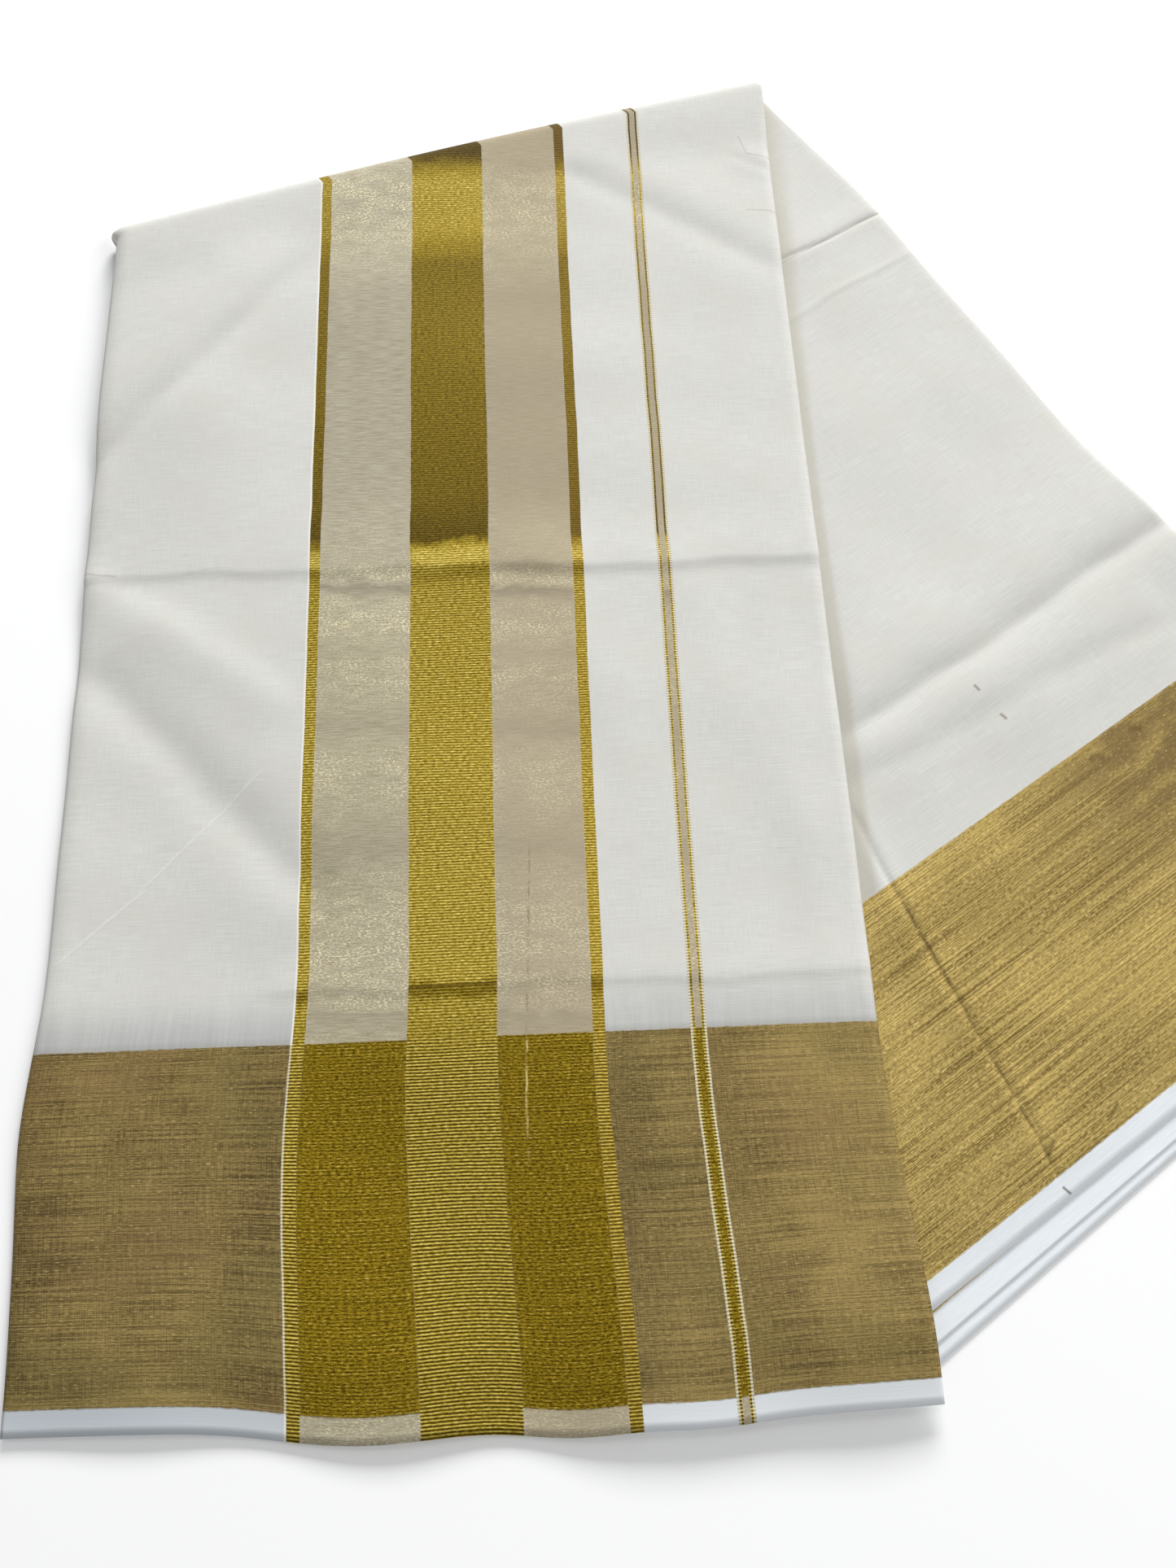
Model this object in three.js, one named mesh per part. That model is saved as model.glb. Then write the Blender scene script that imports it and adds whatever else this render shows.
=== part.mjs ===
// A kasavu saree: one length of cream cotton with a wide gold border along each selvedge, folded
// lengthwise into a packet one panel wide, and turned over at the top along a slanting line. The near
// half of the packet shows the pallu, the far half comes out from under it to the right, and the whole
// lies flat on a table.
// Sizes are in millimetres, +Z is up, and the origin is the middle of the garment on the table.
// Across a panel, s runs from the right-hand fold (0) to the left-hand fold. Along the near half, u runs
// from the near selvedge to the turn. Along the far half, b runs from the body's far selvedge back to the
// turn.
import * as THREE from "three";

// The cloth and how it is folded
const panelWidth = 345; // between two lengthwise folds
const wall = 1.0; // one layer of cloth that shows
const seam = 0.3; // between layers that touch
const nearPacket = 2.6; // the near half's hidden layers, pressed flat
const farPacket = 1.8; // the far half's hidden layers, pressed flat
const edgePacket = 1.0; // the same at their thinnest, by an edge

// The layout on the table, before it is centred
const nearCorner = [129.5, -69.0]; // right-hand end of the near selvedge
const nearTurn = 2.1; // angle of the near selvedge to X, degrees
const foldTurn = 17.65; // angle of the slanting fold to X, degrees
const farTurn = 34.5; // angle of the far selvedge to X, degrees
const farSideTurn = -56.6; // angle of the far half's sides to X, degrees
const foldRight = [95.5, 575.4]; // right-hand end of the fold's axis
const farReach = 525.7; // right-hand edge of the far half, from the fold's axis to the body's selvedge
const centre = [68.3, 249.8]; // middle of the laid-out garment

// The turn at the top, a loose half roll
const turnHeight = 6.7; // its axis over the table
const turnReach = 8.7; // how far it reaches out past its axis
const turnSteps = 8; // straight runs round it
const liftLength = 45; // the near half rises to the turn over this length

// How far the layers stand back from, or out past, the edge that is seen
const nearInset = 13; // hidden layers behind the near selvedge
const farInset = 14; // hidden layers behind the far selvedge
const underOut = (s) => 6 + 0.03 * s; // pallu_under past body_top, wider towards the near half
const secondOut = (s) => 0.64 * underOut(s); // body_second past body_top
const leftInset = 6; // hidden layers behind the left-hand fold of the pallu
const rightInset = 4; // hidden layers behind the right-hand fold of the pallu
const farSideInset = 6; // hidden layers behind the right-hand fold of the far half

const degrees = Math.PI / 180;
const heading = (angle) => [Math.cos(angle * degrees), Math.sin(angle * degrees)];
const onward = ([x, y], [dx, dy], distance) => [x + dx * distance, y + dy * distance];
const clamp01 = (t) => Math.min(1, Math.max(0, t));
const smooth = (t) => clamp01(t) ** 2 * (3 - 2 * clamp01(t));
const mix = (a, b, t) => a + (b - a) * t;
const bell = (distance, width) => Math.exp(-((distance / width) ** 2));
const sum = (list, value) => list.reduce((total, item) => total + value(item), 0);

const selvedgeWay = heading(180 + nearTurn); // along the near selvedge, right to left
const foldWay = heading(180 + foldTurn); // along the fold, right to left
const foldOut = heading(90 + foldTurn); // across the fold, away from the cloth
const farWay = heading(farSideTurn); // down the far half, from the fold
const farOut = heading(farSideTurn + 90); // across the far half, towards its open right-hand side
const slant = (foldTurn - nearTurn) * degrees;
const farGrowth = Math.sin((180 + foldTurn - farTurn) * degrees)
  / Math.cos(slant) / Math.sin((farTurn - farSideTurn) * degrees);

const nearEdge = (s) => onward(nearCorner, selvedgeWay, s);
// The fold bows out in its middle.
const foldBow = (s) => 2.5 * (s / panelWidth) + 3.5 * Math.sin((Math.PI * s) / panelWidth);
const foldLine = (s) => onward(foldRight, foldWay, s / Math.cos(slant));
const foldPoint = (s) => onward(foldLine(s), foldOut, foldBow(s));
const nearLength = (s) => Math.hypot(foldPoint(s)[0] - nearEdge(s)[0], foldPoint(s)[1] - nearEdge(s)[1]);
const farLength = (s) => farReach + s * farGrowth;

// The near selvedge hangs out in lobes below the woven bands, and its corner drifts to the right.
const lobes = [
  // across: place from the right-hand fold, reach: half width, out: how far it hangs out
  { across: 215, reach: 40, out: 5.0 },
  { across: 125, reach: 100, out: 4.0 },
  { across: 135, reach: 25, out: 3.0 },
  { across: 85, reach: 25, out: 2.0 },
];
const lobeDepth = 150; // how far up the cloth the lobes fade out
const drift = 8; // to the right, at the selvedge
const driftDepth = 140;
const leftDraw = 6.8; // the left-hand fold draws in, most where the plain cloth meets the border
const leftFlare = 4.6; // and stands out again over the border

function nearPlan(s, u) {
  const share = u / nearLength(s);
  const [edgeX, edgeY] = nearEdge(s);
  const [turnX, turnY] = foldPoint(s);
  const hang = sum(lobes, (lobe) => lobe.out * bell(s - lobe.across, lobe.reach));
  const down = hang * smooth(1 - u / lobeDepth);
  const right = drift * (smooth(1 - u / driftDepth) - 1) * (1 - share);
  const draw = leftDraw * clamp01((560 - u) / 385) - leftFlare * smooth((165 - u) / 70);
  const inward = draw * (s / panelWidth) ** 2;
  return [mix(edgeX, turnX, share) + right + inward, mix(edgeY, turnY, share) - down];
}

// The far half's open side runs a little out and in.
const sideSwells = [
  // down: place from the fold, reach: half width, out: how far it stands out
  { down: 85, reach: 55, out: 4.5 },
  { down: 265, reach: 50, out: -4.2 },
];
function farPlan(s, b) {
  const down = farLength(s) - b;
  const swell = sum(sideSwells, (run) => run.out * bell(down - run.down, run.reach)) * smooth(1 - s / 90);
  const flat = onward(onward(foldLine(s), farWay, down), farOut, swell);
  return onward(flat, foldOut, foldBow(s) * clamp01(1 - down / 300));
}

// The far half's own s and b of a place on the table.
function farPlace([x, y]) {
  const dx = x - foldRight[0];
  const dy = y - foldRight[1];
  const area = foldWay[0] * farWay[1] - foldWay[1] * farWay[0];
  const s = ((dx * farWay[1] - dy * farWay[0]) / area) * Math.cos(slant);
  const fromFold = (foldWay[0] * dy - foldWay[1] * dx) / area;
  return { s, b: farLength(s) - fromFold };
}

// Height of what the near half lies on: the far half's top, sloping to the table past its edges.
const farTopZ = 6.1;
const leftSlope = { from: panelWidth, to: panelWidth + 130 };
const lowSlope = { from: 12, to: -50 };
function nearBase(place) {
  const { s, b } = farPlace(place);
  const left = smooth((leftSlope.to - s) / (leftSlope.to - leftSlope.from));
  const low = smooth((b - lowSlope.to) / (lowSlope.from - lowSlope.to));
  return farTopZ * left * low;
}

// Folds go along straight runs, each given from the right to the left, so that its lower side is the near
// side.
function alongRun({ from, to }, s, u) {
  const runS = to[0] - from[0];
  const runU = to[1] - from[1];
  const length = Math.hypot(runS, runU);
  const on = ((s - from[0]) * runS + (u - from[1]) * runU) / length;
  const aside = ((s - from[0]) * runU - (u - from[1]) * runS) / length;
  return { on, aside, length };
}
const fadeOut = ({ on, length }, tail) =>
  smooth((on + tail) / tail) * smooth((length + tail - on) / tail);

// A ridge, with a half width on its lower and on its upper side.
function ridgeRise(fold, s, u) {
  const at = alongRun(fold, s, u);
  return fold.rise * bell(at.aside, at.aside > 0 ? fold.lower : fold.upper) * fadeOut(at, fold.tail);
}

// A valley: from its foot the cloth climbs fast over the steep width and falls off over the broad one.
// On the lower side it climbs a share of that.
function valleyRise(fold, s, u) {
  const at = alongRun(fold, s, u);
  const away = Math.hypot(at.aside, fold.foot) - fold.foot;
  const [share, narrower] = at.aside > 0 ? [fold.share, 0.65] : [1, 1];
  const climb = bell(away, narrower * fold.broad) - Math.exp(-away / (narrower * fold.steep));
  return fold.rise * share * climb * fadeOut(at, fold.tail);
}

// Pressed creases and ridges of the near half.
const nearRidges = [
  // from, to: places (s, u), rise: height, lower, upper: half widths, tail: length of a fading end
  { from: [-20, 351], to: [365, 354], rise: 1.2, lower: 6, upper: 20, tail: 30 },
  { from: [-10, 158], to: [360, 157], rise: 0.6, lower: 5, upper: 9, tail: 20 },
  { from: [252, 288], to: [345, 351], rise: 1.4, lower: 15, upper: 10, tail: 20 },
  { from: [100, 470], to: [190, 455], rise: 0.8, lower: 26, upper: 26, tail: 60 },
];
// Valleys of its drag folds: two in the plain cloth on the left, one falling to the right below the turn.
const nearValleys = [
  // as above, with steep, broad: widths of climb and fall, foot: its width, share: the lower side's
  { from: [262, 512], to: [348, 408], rise: 4.3, steep: 9, broad: 46, foot: 2.5, share: 0.35, tail: 50 },
  { from: [238, 204], to: [334, 300], rise: 3.8, steep: 14, broad: 34, foot: 8, share: 0.5, tail: 30 },
  { from: [12, 526], to: [104, 587], rise: 2.6, steep: 9, broad: 28, foot: 5, share: 0.25, tail: 24 },
  { from: [104, 587], to: [168, 592], rise: 1.5, steep: 10, broad: 24, foot: 5, share: 0.2, tail: 30 },
];
const flutes = { rise: 1.0, pitch: 94, shift: 0.9, depth: 110 }; // waves along the near selvedge
const slackRise = 0.4; // what the cloth stands off the layer below everywhere

// What the pallu rises over its flat lie.
function nearRelief(s, u) {
  const ridges = sum(nearRidges, (fold) => ridgeRise(fold, s, u));
  const valleys = sum(nearValleys, (fold) => valleyRise(fold, s, u));
  const wave = flutes.rise * (1 + Math.sin((2 * Math.PI * s) / flutes.pitch + flutes.shift));
  return ridges + valleys + wave * smooth(1 - u / flutes.depth) + slackRise;
}

// Folds of the body cloth on the far half: a faint line and a pinched line, a deep valley that crosses it
// with a lesser one below, and a crease along the panel over the border.
const farRidges = [
  { from: [-20, 394], to: [120, 393], rise: 0.5, lower: 4, upper: 6, tail: 40 },
];
const farValleys = [
  { from: [-20, 424], to: [75, 425], rise: 1.1, steep: 2, broad: 12, foot: 1, share: 0.6, tail: 20 },
  { from: [-20, 199], to: [215, 198], rise: 4.2, steep: 9, broad: 38, foot: 2.5, share: 0.5, tail: 20 },
  { from: [44, 162], to: [215, 180], rise: 2.4, steep: 8, broad: 17, foot: 3, share: 0.6, tail: 16 },
  { from: [217, 168], to: [238, 20], rise: 1.1, steep: 3, broad: 10, foot: 0.5, share: 0.7, tail: 14 },
];

// 1 where the far half is in the open, 0 where the near half lies on it.
function inTheOpen([x, y]) {
  const runX = foldRight[0] - nearCorner[0];
  const runY = foldRight[1] - nearCorner[1];
  const out = ((x - nearCorner[0]) * runY - (y - nearCorner[1]) * runX) / Math.hypot(runX, runY);
  return smooth((out - 16) / 20);
}

function farRelief(s, b) {
  const ridges = sum(farRidges, (fold) => ridgeRise(fold, s, b));
  const valleys = sum(farValleys, (fold) => valleyRise(fold, s, b));
  return (ridges + valleys + slackRise) * inTheOpen(farPlan(s, b)) * smooth(s / 10) * smooth(b / 12);
}

const place = ([x, y], z) => new THREE.Vector3(x - centre[0], y - centre[1], z);

// A place round the turn, at a depth under the pallu's outer surface.
function turnPlace(s, depth, angle) {
  const out = (turnReach - depth) * Math.sin(angle);
  const spot = onward(onward(foldPoint(s), foldOut, out), foldWay, out * Math.tan(slant));
  return place(spot, turnHeight + (turnHeight - depth) * Math.cos(angle));
}

// Heights of the near half's layers. Near the turn they rise to meet it.
const hiddenDepth = wall + seam; // top of the hidden layers under the pallu
const innerDepth = { near: hiddenDepth + nearPacket, far: hiddenDepth + farPacket };
const nearLift = (s, u) => smooth(1 - (nearLength(s) - u) / liftLength);
const nearFull = (s, u) => smooth(u / 30) * smooth((panelWidth - s) / 14) * smooth((s + 3) / 13);

function palluUnderside(s, u) {
  const flat = nearBase(nearPlan(s, u)) + seam + nearPacket * nearFull(s, u);
  const lift = nearLift(s, u);
  return mix(flat, 2 * turnHeight - wall, lift) + nearRelief(s, u) * (1 - lift);
}

function hiddenTop(s, u) {
  const flat = nearBase(nearPlan(s, u)) + nearPacket * nearFull(s, u);
  return mix(flat, 2 * turnHeight - hiddenDepth, nearLift(s, u));
}

const hiddenUnderside = (s, u) =>
  mix(nearBase(nearPlan(s, u)), 2 * turnHeight - innerDepth.near, nearLift(s, u));

// Heights of the far half's layers, which thin out at the selvedge and round off at the right-hand fold,
// except close to the turn.
const nearTurnShare = (s, b) => smooth((b - farLength(s) + turnBack) / (turnBack - 20));
const farFull = (s, b) => smooth((b + secondOut(s)) / 50) * mix(smooth(s / 14), 1, nearTurnShare(s, b));
const secondUnderside = (s, b) => wall + 2 * seam + mix(edgePacket, farPacket, farFull(s, b));
const topUnderside = (s, b) => secondUnderside(s, b) + wall + seam + farRelief(s, b);

// Stations from one place to another in even steps.
const evenly = (from, to, step) => {
  const count = Math.max(1, Math.round(Math.abs(to - from) / step));
  return Array.from({ length: count + 1 }, (_, i) => mix(from, to, i / count));
};
// The same stations with closer ones at each crease.
const withCloser = (stations, close) => {
  const apart = stations.filter((station) => close.every((other) => Math.abs(other - station) > 6));
  return [...apart, ...close].sort((a, b) => a - b);
};

// A closed body between two grids of places. Its side runs down through rings, each a share of the way
// down and a distance in from the rim, so that the edge can show its layers.
function bodyBetween(upper, lower, rings = []) {
  const rows = upper.length;
  const columns = upper[0].length;
  const corners = [];
  const add = (corner) => {
    corners.push(corner);
    return corners.length - 1;
  };
  const top = upper.map((row) => row.map(add));
  const bottom = lower.map((row) => row.map(add));
  const faces = [];
  const quad = (a, b, c, d) => faces.push(a, b, c, a, c, d);
  for (let r = 0; r + 1 < rows; r++) {
    for (let c = 0; c + 1 < columns; c++) {
      quad(top[r][c], top[r + 1][c], top[r + 1][c + 1], top[r][c + 1]);
      quad(bottom[r][c], bottom[r][c + 1], bottom[r + 1][c + 1], bottom[r + 1][c]);
    }
  }
  const rim = [];
  for (let c = 0; c < columns - 1; c++) rim.push([0, c]);
  for (let r = 0; r < rows - 1; r++) rim.push([r, columns - 1]);
  for (let c = columns - 1; c > 0; c--) rim.push([rows - 1, c]);
  for (let r = rows - 1; r > 0; r--) rim.push([r, 0]);
  const inward = (r, c) => {
    const inner = upper[Math.min(rows - 2, Math.max(1, r))][Math.min(columns - 2, Math.max(1, c))];
    return new THREE.Vector3().subVectors(inner, upper[r][c]).setZ(0).normalize();
  };
  const ringAt = ({ down, inset }) => rim.map(([r, c]) =>
    add(upper[r][c].clone().lerp(lower[r][c], down).addScaledVector(inward(r, c), inset)));
  const levels = [
    rim.map(([r, c]) => top[r][c]),
    ...rings.map(ringAt),
    rim.map(([r, c]) => bottom[r][c]),
  ];
  for (let level = 0; level + 1 < levels.length; level++) {
    rim.forEach((_, i) => {
      const next = (i + 1) % rim.length;
      quad(levels[level][i], levels[level][next], levels[level + 1][next], levels[level + 1][i]);
    });
  }
  const geometry = new THREE.BufferGeometry();
  const numbers = corners.flatMap((corner) => corner.toArray());
  geometry.setAttribute("position", new THREE.Float32BufferAttribute(numbers, 3));
  geometry.setIndex(faces);
  geometry.computeVertexNormals();
  return geometry;
}

// Stations that neighbouring layers share, so that their surfaces stay parallel. A row is given as its u
// or b for each s, since the turn slants and the halves are longer on one side.
const step = 24;
const middleAcross = withCloser(evenly(14, 331, step), [216, 224, 232]);
const palluAcross = [0, rightInset, 9, ...middleAcross, panelWidth - leftInset, panelWidth];
const hiddenAcross = [rightInset, 9, ...middleAcross, panelWidth - leftInset];
const fixedRows = (stations) => stations.map((station) => () => station);
const sharedRows = (from, to, count) => evenly(0, 1, 1 / count).slice(1, -1)
  .map((share) => (s) => mix(from, to(s), share));
const lowEnd = 420;
const pressedRows = [151, 158, 165, 344, 351, 361];
const lowStations = withCloser([nearInset, 21, 30, ...evenly(46, lowEnd, step)], pressedRows);
const hiddenNearRows = [
  ...fixedRows(lowStations),
  ...sharedRows(lowEnd, (s) => nearLength(s) - liftLength, 9),
  ...[45, 34, 22, 11, 0].map((left) => (s) => nearLength(s) - left),
];
const palluRows = [...fixedRows([0, 6]), ...hiddenNearRows];
const turnAngles = evenly(0, Math.PI, Math.PI / turnSteps).slice(1);
const farEdgeStations = [farInset, 20, 30, 42, 55];
const turnBack = 62;
const turnBackRows = [turnBack, 48, 34, 20].map((left) => (s) => farLength(s) - left);

const grid = (rows, columns, at) => rows.map((row) => columns.map((s) => at(s, row)));
const flatRows = (rows, plan, height) =>
  rows.map((row) => (s) => place(plan(s, row(s)), height(s, row(s))));
const turnRows = (depthAt) =>
  turnAngles.map((angle) => (s) => turnPlace(s, depthAt(angle / Math.PI), angle));
const gridOf = (rows, columns) => grid(rows, columns, (s, row) => row(s));

// pallu_front: the pallu from its near selvedge up to the turn, and round the turn to the table.
function palluFront() {
  const layer = (up) => gridOf([
    ...flatRows(palluRows, nearPlan, (s, u) => palluUnderside(s, u) + up),
    ...turnRows(() => wall - up),
  ], palluAcross);
  return bodyBetween(layer(wall), layer(0));
}

// pallu_under: the same cloth lying on the table, out to its far selvedge, which shows past the body's.
function palluUnder() {
  const rows = evenly(0, 1, 0.1).map((share) => (s) => mix(-underOut(s), farLength(s) - 2 * seam, share));
  const across = evenly(0, panelWidth, 57.5);
  const layer = (z) => gridOf(flatRows(rows, farPlan, () => z), across);
  return bodyBetween(layer(wall), layer(0));
}

// body_top: the body cloth that shows on the far half.
function bodyTop() {
  const openEnd = 440;
  const foldedRows = [191, 199, 209, 222, 394, 424, 431];
  const rows = [
    ...fixedRows(withCloser([0, 7, ...farEdgeStations, ...evenly(73, openEnd, step)], foldedRows)),
    ...sharedRows(openEnd, (s) => farLength(s) - turnBack, 4),
    ...turnBackRows,
    (s) => farLength(s) - 1,
  ];
  const across = [0, 4, 9, ...middleAcross, panelWidth - 4];
  const layer = (up) => gridOf(flatRows(rows, farPlan, (s, b) => topUnderside(s, b) + up), across);
  return bodyBetween(layer(wall), layer(0));
}

// body_second: the body layer below it, whose selvedge shows past body_top's.
function bodySecond() {
  const rows = [
    ...evenly(1, 0, 0.5).slice(0, 2).map((share) => (s) => -secondOut(s) * share),
    ...fixedRows([0, 7, ...farEdgeStations]),
    ...sharedRows(55, (s) => farLength(s) - turnBack, 8),
    ...turnBackRows,
    (s) => farLength(s) - 1,
  ];
  const across = [4, 9, 14, ...evenly(70, panelWidth - 4, 56)];
  const layer = (up) => gridOf(flatRows(rows, farPlan, (s, b) => secondUnderside(s, b) + up), across);
  return bodyBetween(layer(wall), layer(0));
}

// hidden_layers: every layer between, in both halves and round the turn, as one solid with grooved edges.
function hiddenLayers() {
  const farRows = [
    ...[...turnBackRows].reverse(),
    ...sharedRows(55, (s) => farLength(s) - turnBack, 8).reverse(),
    ...fixedRows([...farEdgeStations].reverse()),
  ];
  const sideWidth = 14;
  const setBack = (s, b) => s + (farSideInset - rightInset) * (1 - nearTurnShare(s, b))
    * clamp01((sideWidth - s) / (sideWidth - rightInset));
  const setPlan = (s, b) => farPlan(setBack(s, b), b);
  const innerGap = (s) => seam * (1 + smooth((sideWidth + 10 - s) / 10));
  const outer = gridOf([
    ...flatRows(hiddenNearRows, nearPlan, hiddenTop),
    ...turnRows(() => hiddenDepth),
    ...flatRows(farRows, setPlan, () => hiddenDepth),
  ], hiddenAcross);
  const inner = gridOf([
    ...flatRows(hiddenNearRows, nearPlan, hiddenUnderside),
    ...turnRows((share) => mix(innerDepth.near, innerDepth.far, share)),
    ...flatRows(farRows, setPlan, (s, b) => secondUnderside(setBack(s, b), b) - innerGap(s)),
  ], hiddenAcross);
  const grooves = [{ down: 0.33, inset: 1.2 }, { down: 0.5, inset: 0 }, { down: 0.67, inset: 1.2 }];
  return bodyBetween(outer, inner, grooves);
}

const cotton = { color: 0xf0eee4, roughness: 0.85, metalness: 0 };
const zari = { color: 0xc9a75c, roughness: 0.5, metalness: 0.35 };
const garment = new THREE.Group();
garment.name = "kasavu_saree";
function show(name, geometry, cloth) {
  const mesh = new THREE.Mesh(geometry, new THREE.MeshStandardMaterial(cloth));
  mesh.name = name;
  garment.add(mesh);
}
show("pallu_front", palluFront(), cotton);
show("pallu_under", palluUnder(), zari);
show("body_top", bodyTop(), cotton);
show("body_second", bodySecond(), zari);
show("hidden_layers", hiddenLayers(), cotton);

export default garment;
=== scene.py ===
import math
import bpy
import numpy as np
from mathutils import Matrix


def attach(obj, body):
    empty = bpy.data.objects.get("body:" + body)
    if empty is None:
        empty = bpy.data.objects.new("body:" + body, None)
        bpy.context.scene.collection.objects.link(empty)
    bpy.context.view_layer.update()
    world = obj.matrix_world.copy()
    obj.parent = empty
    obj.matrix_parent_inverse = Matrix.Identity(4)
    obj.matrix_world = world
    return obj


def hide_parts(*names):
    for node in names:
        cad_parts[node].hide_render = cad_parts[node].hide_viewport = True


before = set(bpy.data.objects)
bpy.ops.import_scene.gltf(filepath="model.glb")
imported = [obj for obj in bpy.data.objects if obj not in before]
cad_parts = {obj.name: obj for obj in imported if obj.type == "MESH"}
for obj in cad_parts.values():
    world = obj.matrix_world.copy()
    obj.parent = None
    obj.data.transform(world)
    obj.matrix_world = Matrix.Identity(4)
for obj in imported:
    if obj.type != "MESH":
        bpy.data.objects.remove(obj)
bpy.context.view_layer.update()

# ---- The saree's layout, in millimetres and degrees. s runs across a panel from its right-hand fold to its
# left-hand fold, u runs up the near half from the near selvedge to the turn, and b runs up the far half from the
# body's selvedge.
PANEL = 345.0  # width of the packet
NEAR_CORNER = (129.5, -69.0)  # right-hand end of the near selvedge
NEAR_TURN = 2.1  # slant of the near selvedge, and below of the fold, far selvedge and far side
FOLD_TURN = 17.65
FAR_TURN = 34.5
FAR_SIDE_TURN = -56.6
FOLD_RIGHT = (95.5, 575.4)  # right-hand end of the fold
FAR_REACH = 525.7  # length of the far half along its open side
MIDDLE = (68.3, 249.8)  # middle of the solids' box
FAR_HEIGHT = 6.1  # height of the far half under the near one
LAYERS = 2.6  # thickness of the hidden layers in the near half
TURN_HEIGHT, TURN_REACH = 6.7, 8.7  # half the turn's height, and how far it stands out
TURN_LENGTH, INNER_TURN = 24.0, 20.0  # way round the turn, outside and inside
LIFT_LENGTH = 45.0  # length over which the near half rises to the turn
CLOTH, INNER_CLOTH = 0.5, 0.3  # thickness of the sheets that show, and of the folded ones
SELVEDGE, BORDER_TOP = 9.0, 136.5  # start and end of the gold border, from the selvedge
PALLU_LENGTH = 1199.0  # from the pallu's near selvedge to its far one
BESIDE_BASE = 30.0  # what the attribute "beside" holds on the near half's edge


def heading(angle):
    """The way of an angle in degrees: its cosine and sine."""
    return math.cos(math.radians(angle)), math.sin(math.radians(angle))


def smooth(t):
    """0 up to t = 0 and 1 from t = 1, rising in an S between, by 3tt - 2ttt."""
    t = np.clip(t, 0, 1)
    return t * t * (3 - 2 * t)


def mix(a, b, t):
    """The value a share t of the way from a to b."""
    return a + (b - a) * t


def bell(distance, width):
    """1 at no distance, falling off as a bell: e to the power of minus the squared share of the width."""
    return np.exp(-((distance / width) ** 2))


SELVEDGE_WAY = heading(180 + NEAR_TURN)
FOLD_WAY = heading(180 + FOLD_TURN)
FOLD_OUT = heading(90 + FOLD_TURN)
FAR_WAY = heading(FAR_SIDE_TURN)
FAR_OUT = heading(FAR_SIDE_TURN + 90)
SLANT = math.radians(FOLD_TURN - NEAR_TURN)
FAR_GROWTH = (math.sin(math.radians(180 + FOLD_TURN - FAR_TURN)) / math.cos(SLANT)
              / math.sin(math.radians(FAR_TURN - FAR_SIDE_TURN)))


def near_edge(s):
    """A place on the straight line of the near selvedge."""
    return NEAR_CORNER[0] + SELVEDGE_WAY[0] * s, NEAR_CORNER[1] + SELVEDGE_WAY[1] * s


def fold_bow(s):
    """How far the fold stands out of its straight line: a slope and half a wave."""
    return 2.5 * s / PANEL + 3.5 * np.sin(np.pi * s / PANEL)


def fold_line(s):
    """A place on the fold's straight line, which crosses the panel at a slant."""
    t = s / math.cos(SLANT)
    return FOLD_RIGHT[0] + FOLD_WAY[0] * t, FOLD_RIGHT[1] + FOLD_WAY[1] * t


def fold_point(s):
    """A place on the bowed fold."""
    x, y = fold_line(s)
    return x + FOLD_OUT[0] * fold_bow(s), y + FOLD_OUT[1] * fold_bow(s)


def near_length(s):
    """The near half's length from its selvedge to the fold."""
    (x0, y0), (x1, y1) = near_edge(s), fold_point(s)
    return np.hypot(x1 - x0, y1 - y0)


def far_length(s):
    """The far half's length from the body's selvedge to the fold, growing evenly to the left."""
    return FAR_REACH + s * FAR_GROWTH


# The near selvedge hangs out in lobes. Columns: place across, half width, how far out.
LOBES = ((215, 40, 5.0), (125, 100, 4.0), (135, 25, 3.0), (85, 25, 2.0))


def near_plan(s, u):
    """Straight from the near selvedge to the fold, drawn in along the left, drifting right over the border, and
    hanging out in lobes at the selvedge, each a bell across."""
    share = u / near_length(s)
    (x0, y0), (x1, y1) = near_edge(s), fold_point(s)
    hang = sum(out * bell(s - across, reach) for across, reach, out in LOBES)
    down = hang * smooth(1 - u / 150)
    right = 8.0 * (smooth(1 - u / 140) - 1) * (1 - share)
    skew = -3.0 * bell(s - 240, 40) * smooth((150 - u) / 90)
    draw = 6.8 * np.clip((560 - u) / 385, 0, 1) - 4.6 * smooth((165 - u) / 70)
    inward = draw * (s / PANEL) ** 2
    return mix(x0, x1, share) + right + skew + inward, mix(y0, y1, share) - down


# The far half's open side runs a little out and in. Columns: place down from the fold, half width, how far out.
SIDE_SWELLS = ((85, 55, 4.5), (265, 50, -4.2))


def far_plan(s, b):
    """Straight down from the fold, with the open side swelling out and in, and the fold's bow fading out."""
    down = far_length(s) - b
    swell = sum(out * bell(down - place, reach) for place, reach, out in SIDE_SWELLS) * smooth(1 - s / 90)
    bow = fold_bow(s) * np.clip(1 - down / 300, 0, 1)
    x, y = fold_line(s)
    return (x + FAR_WAY[0] * down + FAR_OUT[0] * swell + FOLD_OUT[0] * bow,
            y + FAR_WAY[1] * down + FAR_OUT[1] * swell + FOLD_OUT[1] * bow)


def far_place(x, y):
    """The far half's own s and b of a place on the table."""
    dx, dy = x - FOLD_RIGHT[0], y - FOLD_RIGHT[1]
    area = FOLD_WAY[0] * FAR_WAY[1] - FOLD_WAY[1] * FAR_WAY[0]
    s = (dx * FAR_WAY[1] - dy * FAR_WAY[0]) / area * math.cos(SLANT)
    return s, far_length(s) - (FOLD_WAY[0] * dy - FOLD_WAY[1] * dx) / area


def near_base(s, u):
    """What the near half lies on: the far half's height, sloping to the table past its left side and its selvedge."""
    far_s, far_b = far_place(*near_plan(s, u))
    return FAR_HEIGHT * smooth((PANEL + 130 - far_s) / 130) * smooth((far_b + 50) / 62)


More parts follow.
